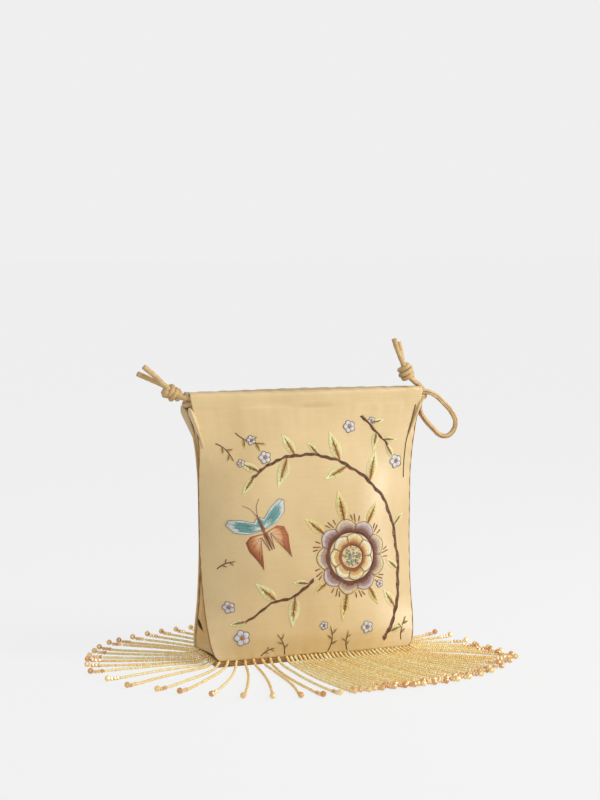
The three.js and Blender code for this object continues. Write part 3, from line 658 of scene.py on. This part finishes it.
inner = shaded_ring(bloom, 0.0376, 7, 0.14, 0.0088, [
    (0.6, 1.0, (250, 236, 196), (253, 246, 226), (248, 226, 160), (252, 240, 206)),
    (0.25, 0.7, (206, 150, 84), (250, 232, 176), (190, 128, 70), (244, 214, 140)),
    (0.0, 0.34, (104, 56, 28), (186, 126, 72), (104, 56, 28), (176, 116, 64)),
])
inner += lined(scalloped(bloom, 0.0378, 7, 0.14), 0.00045, 0.0002, (98, 52, 28))
for petal in range(7):
    way = turned(2 * math.pi * petal / 7)
    inner += lined([bloom + way * 0.0105, bloom + way * 0.0158], 0.0005, 0.0002, (120, 70, 38))
sew("bloom_inner_stitches", inner, ["bloom_inner_petals"])
heart = knots(bloom, 0.0058, 0.0084, 60, [(206, 146, 66), (176, 112, 48), (226, 176, 96)])
heart += knots(bloom, 0.0, 0.0062, 95, [(96, 152, 140), (74, 128, 122), (132, 180, 164)])
sew("bloom_knots", heart, ["bloom_heart"])


def curve_place(given, t):
    """A place on the smooth curve through the given ones, and the way it runs there."""
    p = np.vstack([given[:1], given, given[-1:]])
    k = min(int(t * (len(p) - 3)), len(p) - 4)
    u = t * (len(p) - 3) - k
    a, b, c, d = p[k:k + 4]
    v, w = (c - a) / 2, (d - b) / 2
    place = (2 * b - 2 * c + v + w) * u ** 3 + (3 * c - 3 * b - 2 * v - w) * u ** 2 + v * u + b
    ahead = 3 * (2 * b - 2 * c + v + w) * u ** 2 + 2 * (3 * c - 3 * b - 2 * v - w) * u + v
    return place, ahead / np.linalg.norm(ahead)


def stem_place(places, t):
    return curve_place(np.array([on_front(*place) for place in places]), t)


def bark(places, width):
    """Slanting stitches across a stem, dark below and lighter where the light would catch it."""
    rows = []
    stops = np.array([stem_place(places, k / 60)[0] for k in range(61)])
    length = np.linalg.norm(np.diff(stops, axis=0), axis=1).sum()
    count = int(length / 0.00042)
    for k in range(count):
        t = k / (count - 1)
        place, ahead = stem_place(places, t)
        aside = np.array([-ahead[1], ahead[0]])
        gnarl = 0.00045 * math.sin(k * 0.113) + 0.0003 * math.sin(k * 0.29 + 1)
        place = place + aside * gnarl
        knotty = 1 + 0.3 * math.sin(k * 0.23) * math.sin(k * 0.071)
        half = width / 2 * (1.15 - 0.5 * t) * knotty + 0.00022
        slant = ahead * 0.0007
        dark = mixed_dye((54, 24, 8), (92, 48, 20), dice.random())
        pale = mixed_dye((104, 58, 26), (206, 158, 100), dice.random() ** 2)
        across = aside * half + slant
        rows.append((place - across, place + across, 0.00052, 0.00006, dark, pale))
    return rows


stems = {
    "branch": ([(66, 4), (81, 18), (83, 39), (72, 59), (43, 73), (7, 80), (-30, 79), (-57, 72)], 0.0026),
    "twig": ([(-4, 31), (-20, 25), (-43, 22), (-66, 15)], 0.0018),
    "ear": ([(50, 95), (64, 89), (75, 83)], 0.0018),
}
sew("main_branch_stitches", bark(*stems["branch"]), ["main_branch"])
sew("twig_stitches", bark(*stems["twig"]) + bark(*stems["ear"]), ["lower_twig", "ear_twig"])


def leaf(root, way, length, edge_dye, heart_dye, fill=1.0):
    """A leaf in two slanting rows of stitches from its rib, shaded from the rib outwards."""
    rows = []
    aside = np.array([-way[1], way[0]])

    def half(t):
        return length * 0.2 * math.sin(math.pi * t ** 0.8)

    count = int(length / silk_spacing)
    for k in range(count):
        t = (k + 0.5) / count
        for side in (-1, 1):
            out = min(1, t + 0.1)
            rib = root + way * t * length
            rim = root + way * out * length + aside * side * (half(out) + 0.00015)
            deep = mixed_dye(heart_dye, edge_dye, 0.35 + t + dice.uniform(-0.12, 0.12))
            pale = mixed_dye(edge_dye, (250, 246, 206), dice.uniform(0, 0.5))
            rows.append((rib, rim, silk_width, 0, deep, pale))
            if t < 0.62 and dice.random() < 0.75 * fill:
                short = rib + (rim - rib) * dice.uniform(0.2, 0.55)
                rows.append((rib, short, silk_width, 0.0001, heart_dye, mixed_dye(heart_dye, edge_dye, 0.45)))
    rows += lined([root, root + way * length * 0.78], 0.0005, 0.0002, (118, 62, 24))
    return rows


leaves = []
for stem, at, lean, size in (
    ("branch", 0.05, -48, 0.55), ("branch", 0.13, 52, 0.8), ("branch", 0.36, -60, 0.55), ("branch", 0.52, -62, 1),
    ("branch", 0.64, -48, 1), ("branch", 0.61, 55, 0.9), ("branch", 0.8, -66, 0.8), ("branch", 0.83, 58, 1),
    ("branch", 0.95, -62, 0.7), ("twig", 0.36, 62, 1), ("twig", 0.6, -58, 0.9), ("twig", 0.99, -24, 0.55),
    ("twig", 0.12, -50, 0.5), ("branch", 0.99, 20, 0.62), ("branch", 0.24, 50, 0.6), ("branch", 0.72, -40, 0.5),
    ("ear", 0.3, 55, 0.5), ("ear", 0.55, -55, 0.6), ("ear", 0.8, 50, 0.45), ("ear", 0.99, -10, 0.55),
):
    places, width = stems[stem]
    place, ahead = stem_place(places, at)
    side = math.copysign(1, lean)
    root = place + np.array([-ahead[1], ahead[0]]) * side * (width / 2 * (1 - 0.55 * at) + 0.0003)
    way = turned(math.atan2(ahead[1], ahead[0]) + math.radians(lean))
    heart_dye = (178, 112, 42) if size > 0.75 else (150, 96, 40)
    leaves += leaf(root, way, 0.024 * size, (244, 238, 176), heart_dye)
for angle, size in ((60, 0.019), (100, 0.024), (140, 0.021), (220, 0.014), (260, 0.022), (300, 0.017)):
    way = turned(math.radians(angle))
    leaves += leaf(bloom + way * 0.0294, way, size, (240, 222, 146), (158, 88, 34))
sew("leaf_stitches", leaves, [f"leaf_{k + 1}" for k in range(11)])


def blossom(middle, diameter):
    """Five white petals shaded grey towards the middle, with a dark outline and rust knots."""
    rows = []
    count = int(math.pi * diameter * 0.8 / silk_spacing)
    for k in range(count):
        angle = 2 * math.pi * k / count
        crest = abs(math.sin(2.5 * angle))
        edge = diameter / 2 * (1 - 0.3 * (1 - crest)) * 0.96
        grey = mixed_dye((206, 206, 214), (122, 104, 98), max(0, 1 - crest / 0.4))
        way = turned(angle)
        rows.append((middle + way * diameter * 0.12, middle + way * edge, silk_width, 0, grey, (244, 242, 244)))
    rows += lined(scalloped(middle, diameter, 5, 0.3, 80), 0.00036, 0.0001, (82, 58, 50), 0.0012)
    for petal in range(5):
        angle = 2 * math.pi * petal / 5
        rows += lined([middle + turned(angle) * r * diameter for r in (0.14, 0.34)], 0.0003, 0.00012, (96, 68, 58))
        tip = middle + turned(angle + 0.63) * diameter * 0.2
        rows.append((middle, tip, 0.0004, 0.00014, (190, 104, 44), (150, 78, 36)))
    return rows + knots(middle, 0, diameter * 0.1, 7, [(190, 104, 44), (226, 156, 70)])


blossoms = []
for right, up, size in (
    (-70, 9, 1), (-80, 21, 0.75), (38, 91, 0.8), (84, 76, 0.9), (48, 10, 0.8), (-56, 87, 0.62), (-44, 80, 0.8),
    (-66, 78, 0.5), (60, 93, 0.5), (6, 12, 0.55), (62, 27, 0.5),
):
    blossoms += blossom(on_front(right, up), 0.013 * size)
sew("blossom_stitches", blossoms, [f"blossom_{k + 1}" for k in range(5)])

butterfly = on_front(-48, 51)
butterfly_tilt = math.radians(22)


def on_butterfly(x, y, side=1):
    cos, sin = math.cos(butterfly_tilt), math.sin(butterfly_tilt)
    x, y = x * side * 0.025, y * 0.025
    return butterfly + np.array([x * cos - y * sin, x * sin + y * cos])


def wing(outline, root, side, bands):
    """Stitches that spread from a wing's root to its edge, in bands of colour."""
    rows = []
    root = np.array(root)
    edge = np.array(outline) - root
    runs = np.roll(edge, -1, axis=0) - edge
    for angle in np.arange(-math.pi, math.pi, 0.021):
        way = turned(angle)
        turn = way[0] * runs[:, 1] - way[1] * runs[:, 0]
        out = (edge[:, 0] * runs[:, 1] - edge[:, 1] * runs[:, 0]) / turn
        share = (edge[:, 0] * way[1] - edge[:, 1] * way[0]) / turn
        reach = np.max(out, where=(share >= 0) & (share <= 1), initial=0)
        if reach < 0.06:
            continue
        for near, far, low, high in bands:
            ragged = dice.uniform(-0.06, 0.06, 2)
            a = root + way * reach * max(0, near + (ragged[0] if near > 0 else 0))
            b = root + way * reach * min(1, far + (ragged[1] if far < 1 else 0))
            rows.append((on_butterfly(*a, side), on_butterfly(*b, side), silk_width, 0.00004 * (far < 1), low, high))
    return rows


forewing = [(0.05, 0.04), (0.5, 0.1), (0.86, 0.3), (1, 0.62), (0.86, 0.72), (0.5, 0.58), (0.16, 0.34), (0.05, 0.46)]
hindwing = [
    (0.07, -0.7), (0.14, -0.2), (0.26, -0.4), (0.42, -0.86), (0.5, -1.12), (0.56, -0.8), (0.68, -0.42),
    (0.66, -0.12), (0.46, 0), (0.05, -0.06)]
fore, hind = [], []
for side in (-1, 1):
    fore += wing(forewing, (0.06, 0.1), side, [
        (0.72, 1.0, (196, 214, 210), (244, 244, 240)), (0.3, 0.8, (104, 160, 152), (134, 182, 178)),
        (0.0, 0.4, (236, 238, 226), (120, 168, 160))])
    for tip in ((0.92, 0.64), (0.84, 0.46), (0.74, 0.3), (0.6, 0.2), (0.66, 0.58)):
        vein = [on_butterfly(0.2, 0.16 + tip[1] * 0.1, side), on_butterfly(*tip, side)]
        fore += lined(vein, 0.0003, 0.00016, (66, 100, 108))
    outline = [on_butterfly(*place, side) for place in [*forewing, forewing[0]]]
    fore += lined(outline, 0.00034, 0.00012, (92, 112, 116), 0.0015)
    hind += wing(hindwing, (0.12, -0.12), side, [
        (0.6, 1.0, (206, 132, 78), (150, 78, 42)), (0.0, 0.68, (246, 222, 176), (220, 150, 92))])
    for tip in ((0.5, -1.1), (0.54, -0.8), (0.64, -0.42), (0.46, -0.84), (0.62, -0.16), (0.08, -0.62)):
        vein = [on_butterfly(0.16, -0.14, side), on_butterfly(*tip, side)]
        hind += lined(vein, 0.00036, 0.00016, (132, 66, 34))
    feeler = [on_butterfly(*place, side) for place in ((0.01, 0.5), (0.1, 0.8), (0.28, 0.98))]
    hind += lined(feeler, 0.0003, 0.00004, (74, 40, 22))
for k in range(40):
    along = -0.62 + 1.14 * k / 39
    half = 0.045 * math.sin(math.pi * (k + 1.5) / 42) ** 0.6
    colouring = (196, 84, 48) if 17 < k < 27 else mixed_dye((82, 44, 24), (128, 78, 44), dice.random())
    hind.append((on_butterfly(-half, along), on_butterfly(half, along + 0.02), silk_width, 0.0003, colouring, colouring))
sew("butterfly_fore_stitches", fore, ["butterfly_forewings"])
sew("butterfly_hind_stitches", hind, ["butterfly_hindwings"])

# Small sprigs. They are worked in the same silks and stitches, along the bottom seam and by the ears,
# and a dark line of stem stitch runs down each side of a gusset's fold, low down.
sprigs = []
for right, up, way, length, turn in (
    (12, 1, 62, 0.017, 1), (30, 1, 118, 0.013, -1), (-30, 1, 84, 0.015, 1), (-52, 1, 56, 0.011, -1),
    (84, 3, 100, 0.015, -1), (-88, 36, 52, 0.012, -1), (-70, 90, -48, 0.021, 1), (-88, 86, -18, 0.016, -1),
):
    line, ahead = [on_front(right, up)], math.radians(way)
    for _ in range(8):
        ahead += turn * 0.09
        line.append(line[-1] + turned(ahead) * length / 8)
    sprigs += lined(line, 0.0008, 0.00004, (92, 48, 22), 0.0014)
    for k in (3, 5, 7):
        side = 1 if k == 5 else -1
        spread = ahead + side * 0.9 - turn * 0.09 * (8 - k)
        sprigs += leaf(line[k], turned(spread), length * 0.36, (214, 190, 118), (164, 92, 36), 0.6)
    sprigs += leaf(line[-1], turned(ahead), length * 0.3, (226, 206, 140), (186, 118, 50), 0.6)
line = [on_front(*place) for place in ((104, 99), (100.5, 93), (97, 88), (94.5, 83), (93.5, 76), (93.5, 69))]
sprigs += lined(line, 0.0008, 0.00006, (96, 56, 28), 0.0018)
sew("sprig_stitches", sprigs)
for side, name in ((-1, "left"), (1, "right")):
    rows = []
    for front in (-1, 1):
        line = [(side * front * y, z) for y, z in (
            (0.0141, 0.0365), (0.0149, 0.0320), (0.0155, 0.0280), (0.0161, 0.0240), (0.0160, 0.0205),
            (0.0153, 0.0175), (0.0143, 0.0150))]
        rows += lined(line, 0.0012, 0.00004, (72, 38, 18), 0.0016)
    sew(f"{name}_gusset_stitches", rows, place=gusset_place(side), cloth=gusset_thickness)

# Beaded fringe. A copper braid is sewn round under the bottom seam, and strands of small gold beads
# hang from it close together. With the bag set down they fan out flat on the table, each ending in
# three cut copper beads and a round one. Strands and braid are strung and sewn as one trim a side.
# The braid is painted darker than its copper, partly as painted shade for the dark gaps between
# the strands under the seam.
base_length = 0.166
strand_length = 0.114
strand_width = 0.0022
strand_bow = math.radians(8)
end_run = 0.0126
fan_length, fan_depth = 0.366, 0.278
seed_spacing = 0.00158
cut_radius = 0.00156
round_radius = 0.00268


def bead_finish(name, colours, gloss, metal, coat):
    """Lined glass beads: a warm metal shine that changes from bead to bead."""
    finish, tree, shader = new_finish(name, Roughness=gloss, Metallic=metal, Coat_Weight=coat)
    shader.inputs["Coat Roughness"].default_value = 0.08
    amount = combined(tree, "ADD", kept_at_points(tree, "bead_tone"), grain(tree, (1, 1, 1), 700, 2))
    shade = stretched(tree, amount, 0.3, 1.7)
    low, high = colours
    tree.links.new(between(tree, shade, (0.1, seen(*low)), (0.9, seen(*high))), shader.inputs["Base Color"])
    return finish


seed_glass = bead_finish("gold_seed_beads", ((246, 196, 96), (255, 244, 184)), 0.24, 0.1, 0.6)
copper_glass = bead_finish("copper_end_beads", ((206, 138, 64), (255, 226, 156)), 0.08, 0.3, 1.0)
# Partly painted shade: the braid's copper runs dark, so that between the strands it shows as the shade under the seam.
braid, tree, shader = new_finish("copper_braid_painted_shade", Roughness=0.5, Metallic=0.2, Sheen_Weight=0.1)
twist = grain(tree, (1, 1, 2.5), 1400, 3)
colouring = between(tree, twist, (0.3, seen(104, 64, 28)), (0.7, seen(206, 150, 78)))
tree.links.new(colouring, shader.inputs["Base Color"])
add_relief(tree, shader, (twist, 0.6, 0.0004))


def strand_line(start, tip, outward, sway):
    """Points along a strand on the table, from the braid to its tip, and its length."""
    run = tip - start
    reach = np.linalg.norm(run)
    full = min(strand_length, reach * strand_bow / math.sin(strand_bow))
    radius = full / (2 * strand_bow)
    ahead = run / reach
    aside = np.array([-ahead[1], ahead[0]])
    aside = aside * (1 if aside @ outward > 0 else -1)
    travelled = np.linspace(0, full, 223)
    turn = strand_bow * (2 * travelled / full - 1)
    wave = sway * np.sin(travelled / full * 7 + sway * 9000) * np.sin(travelled / full * math.pi)
    flat = start + np.outer(radius * (math.sin(strand_bow) + np.sin(turn)), ahead)
    flat = flat + np.outer(radius * (np.cos(turn) - math.cos(strand_bow)) + wave, aside)
    height = strand_width / 2 + 0.00008 + 0.0031 * np.exp(-(travelled / 0.0052) ** 2)
    return np.column_stack([flat, height]), full


def turned_bead(profile, sides):
    """A bead's points and faces, from (along, out) pairs, its hole's axis along X."""
    turn = np.linspace(0, 2 * math.pi, sides, endpoint=False)
    rings = [np.column_stack([np.full(sides, x), out * np.cos(turn), out * np.sin(turn)]) for x, out in profile]
    points = np.vstack([*rings, [[profile[0][0], 0, 0], [profile[-1][0], 0, 0]]])
    faces = [
        (r * sides + k, r * sides + (k + 1) % sides, (r + 1) * sides + (k + 1) % sides, (r + 1) * sides + k)
        for r in range(len(profile) - 1) for k in range(sides)
    ]
    last = len(profile) * sides
    faces += [(last, (k + 1) % sides, k) for k in range(sides)]
    faces += [(last + 1, last - sides + k, last - sides + (k + 1) % sides) for k in range(sides)]
    return points, faces


def string_beads(beads, bead):
    """One mesh of many beads, each (place, direction, size, tone)."""
    shape, bead_faces = bead
    points, faces, tones = [], [], []
    for place, direction, size, tone in beads:
        x = direction / np.linalg.norm(direction)
        y = np.cross((0, 0, 1), x)
        y /= np.linalg.norm(y)
        z = np.cross(x, y)
        first = len(points) * len(shape)
        points.append(place + shape @ np.stack([x, y, z]) * size)
        faces += [tuple(first + v for v in face) for face in bead_faces]
        tones.append(np.full(len(shape), tone))
    return np.vstack(points), faces, np.concatenate(tones)


seed_bead = turned_bead([(-0.00079, 0.00078), (-0.00046, 0.0011), (0.00046, 0.0011), (0.00079, 0.00078)], 7)
cut_bead = turned_bead([(-0.00128, 0.0008), (-0.0004, 0.00152), (0.0004, 0.00152), (0.00128, 0.0008)], 6)
round_bead = turned_bead([
    (-0.0021, 0.0008), (-0.0015, 0.0018), (-0.0005, 0.00232), (0.0006, 0.00228), (0.0015, 0.0017),
    (0.0021, 0.0009)], 8)
chance = np.random.default_rng(7)

for side, name, start_corner, end_corner, pitch, tips in (
    ("front", "front_fringe", (-1, -1), (1, -1), 0.0068, [
        (-80, -60), (-51, -88), (-20, -100), (0, -99), (17, -100), (29, -97), (45, -93), (64, -81), (84, -56)]),
    ("right", "right_fringe", (1, -1), (1, 1), 0.0058, [
        (84, -50), (82.5, -40), (80, -30), (77, -20), (76.5, -9), (74.5, 9), (70, 19), (62, 36)]),
    ("back", "back_fringe", (1, 1), (-1, 1), 0.0068, [
        (58, 49), (49.5, 58.5), (39, 67), (20, 75), (-7, 79), (-32, 81), (-57, 73), (-80, 56)]),
    ("left", "left_fringe", (-1, 1), (-1, -1), 0.0058, [(-86, 47), (-93, 30), (-97, 14), (-99, -14), (-90, -47)]),
):
    corner_reach = base_length / 2, base_depth / 2
    first, last = np.array(start_corner) * corner_reach, np.array(end_corner) * corner_reach
    edge = (last - first) / np.linalg.norm(last - first)
    outward = np.array([edge[1], -edge[0]])
    long_side = abs(edge[0]) > 0.5
    span = base_length if long_side else base_depth - 0.0026
    middle = (first + last) / 2 - outward * 0.0005
    count = round((span - pitch / 2) / pitch)
    tip_line = np.array(tips) / 100 * (fan_length / 2, fan_depth / 2)
    seeds, cuts, rounds = [], [], []
    crowded = {"front": range(8, count - 1), "right": range(3)}.get(side, ())
    between_them = [k + 0.5 for k in crowded]
    for k in [*range(count), *between_them]:
        start = middle + edge * (k + 0.5 - count / 2) * span / count
        tip = curve_place(tip_line, k / (count - 1))[0]
        tip = tip - (tip - start) * (chance.uniform(0.02, 0.09) if k in between_them else 0)
        strand_tone = chance.uniform(-0.3, 0.3)
        line, full = strand_line(start, tip, outward, chance.uniform(-0.0009, 0.0009))
        heads = np.gradient(line, axis=0)
        beaded = full - end_run

        def at(distance):
            near = int(round(distance / full * 222))
            return line[near], heads[near]

        for b in range(int(beaded / seed_spacing)):
            place, head = at(0.0006 + b * seed_spacing)
            wander = chance.normal(0, 0.00006, 3)
            wander[2] = abs(wander[2])
            size = 1 + chance.normal(0, 0.045)
            seeds.append((place + wander, head, size, 0.55 + strand_tone + chance.normal(0, 0.16)))
        for b in range(3):
            place, head = at(beaded + 0.0010 + b * 0.0027)
            place = place + (0, 0, cut_radius - strand_width / 2)
            cuts.append((place, head, 1.1 - 0.03 * b, chance.random()))
        place, head = at(full - 0.0024)
        rounds.append((place + (0, 0, round_radius - strand_width / 2), head, 1.04, chance.random()))
    points, faces, tones = string_beads(seeds, seed_bead)
    strands = make_piece(f"{side}_strands", points, faces, [seed_glass], values={"bead_tone": tones})
    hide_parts(name)
    for kind, beads, bead in (("cut_beads", cuts, cut_bead), ("round_beads", rounds, round_bead)):
        points, faces, tones = string_beads(beads, bead)
        values = {"bead_tone": tones}
        make_piece(f"{side}_{kind}", points, faces, [copper_glass], values=values, flat=True)

    # The braid, ribbed by its twist, that the strands hang from
    rows = np.array([0.0004, 0.0014, 0.0026, 0.0038, 0.0046])
    puff = np.array([0.0002, 0.0005, 0.0006, 0.0005, 0.0002])
    places = np.linspace(-span / 2, span / 2, int(span / 0.0012))
    ribs = 0.00012 * np.sin(places / 0.0024 * 2 * math.pi)
    grid = np.stack([
        np.column_stack([
            np.outer(places, edge) + middle + outward[None, :] * (out + ribs)[:, None] * 0.9, np.full(len(places), z)])
        for z, out in zip(rows, puff)
    ])
    points, faces, _ = wall(grid - np.append(outward, 0) * 0.0004, 0.0008)
    make_piece(f"{side}_braid", points, faces, [braid])

# The studio. The bag stands on pale paper in an even pale surround, with a broad soft lamp at the
# front left and a tall one close by at the right.


def seen_directly(tree):
    """1 where the camera sees a thing itself, through glass or in a shine, and 0 for its light."""
    rays = add_node(tree, "LightPath", {}).outputs
    clear = combined(tree, "MAXIMUM", rays["Is Camera Ray"], rays["Is Transmission Ray"])
    return combined(tree, "MAXIMUM", clear, rays["Is Glossy Ray"])


floor_mesh = bpy.data.meshes.new("studio_floor")
floor_mesh.from_pydata([(-30, -30, 0), (30, -30, 0), (30, 30, 0), (-30, 30, 0)], [], [(0, 1, 2, 3)])
floor = stand("studio_floor", floor_mesh)
paper, tree, shader = new_finish("paper", Roughness=1.0, Specular_IOR_Level=0.0)
shader.inputs["Base Color"].default_value = (0.93, 0.93, 0.93, 1)
even = add_node(tree, "Emission", {"Color": (0.918, 0.918, 0.918, 1), "Strength": 1.0})
lit = add_node(tree, "MixShader", {"Fac": combined(tree, "MULTIPLY", seen_directly(tree), 0.87)})
tree.links.new(shader.outputs["BSDF"], lit.inputs[1])
tree.links.new(even.outputs["Emission"], lit.inputs[2])
tree.links.new(lit.outputs["Shader"], tree.nodes["Material Output"].inputs["Surface"])
floor_mesh.materials.append(paper)

world = bpy.data.worlds.new("studio_air")
bpy.context.scene.world = world
world.use_nodes = True
tree = world.node_tree
air = tree.nodes["Background"]
air.inputs["Color"].default_value = (1, 1, 1, 1)
level = add_node(tree, "MapRange", {"Value": seen_directly(tree), "To Min": 0.42, "To Max": 0.866})
tree.links.new(level.outputs["Result"], air.inputs["Strength"])

lamp_data = bpy.data.lights.new("broad_lamp", "SUN")
lamp_data.energy = 0.45
lamp_data.angle = math.radians(38)
lamp = stand("broad_lamp", lamp_data)
lamp.rotation_euler = (math.radians(58), 0, math.radians(-18))
side_data = bpy.data.lights.new("side_lamp", "AREA")
side_data.energy = 10.4
side_data.shape = "RECTANGLE"
side_data.size = 0.42
side_data.size_y = 1.25
side_lamp = stand("side_lamp", side_data)
side_lamp.location = (0.91, -0.64, 0.62)
side_lamp.rotation_euler = (math.radians(65), 0, math.radians(55))
bpy.context.scene.view_settings.view_transform = "Standard"
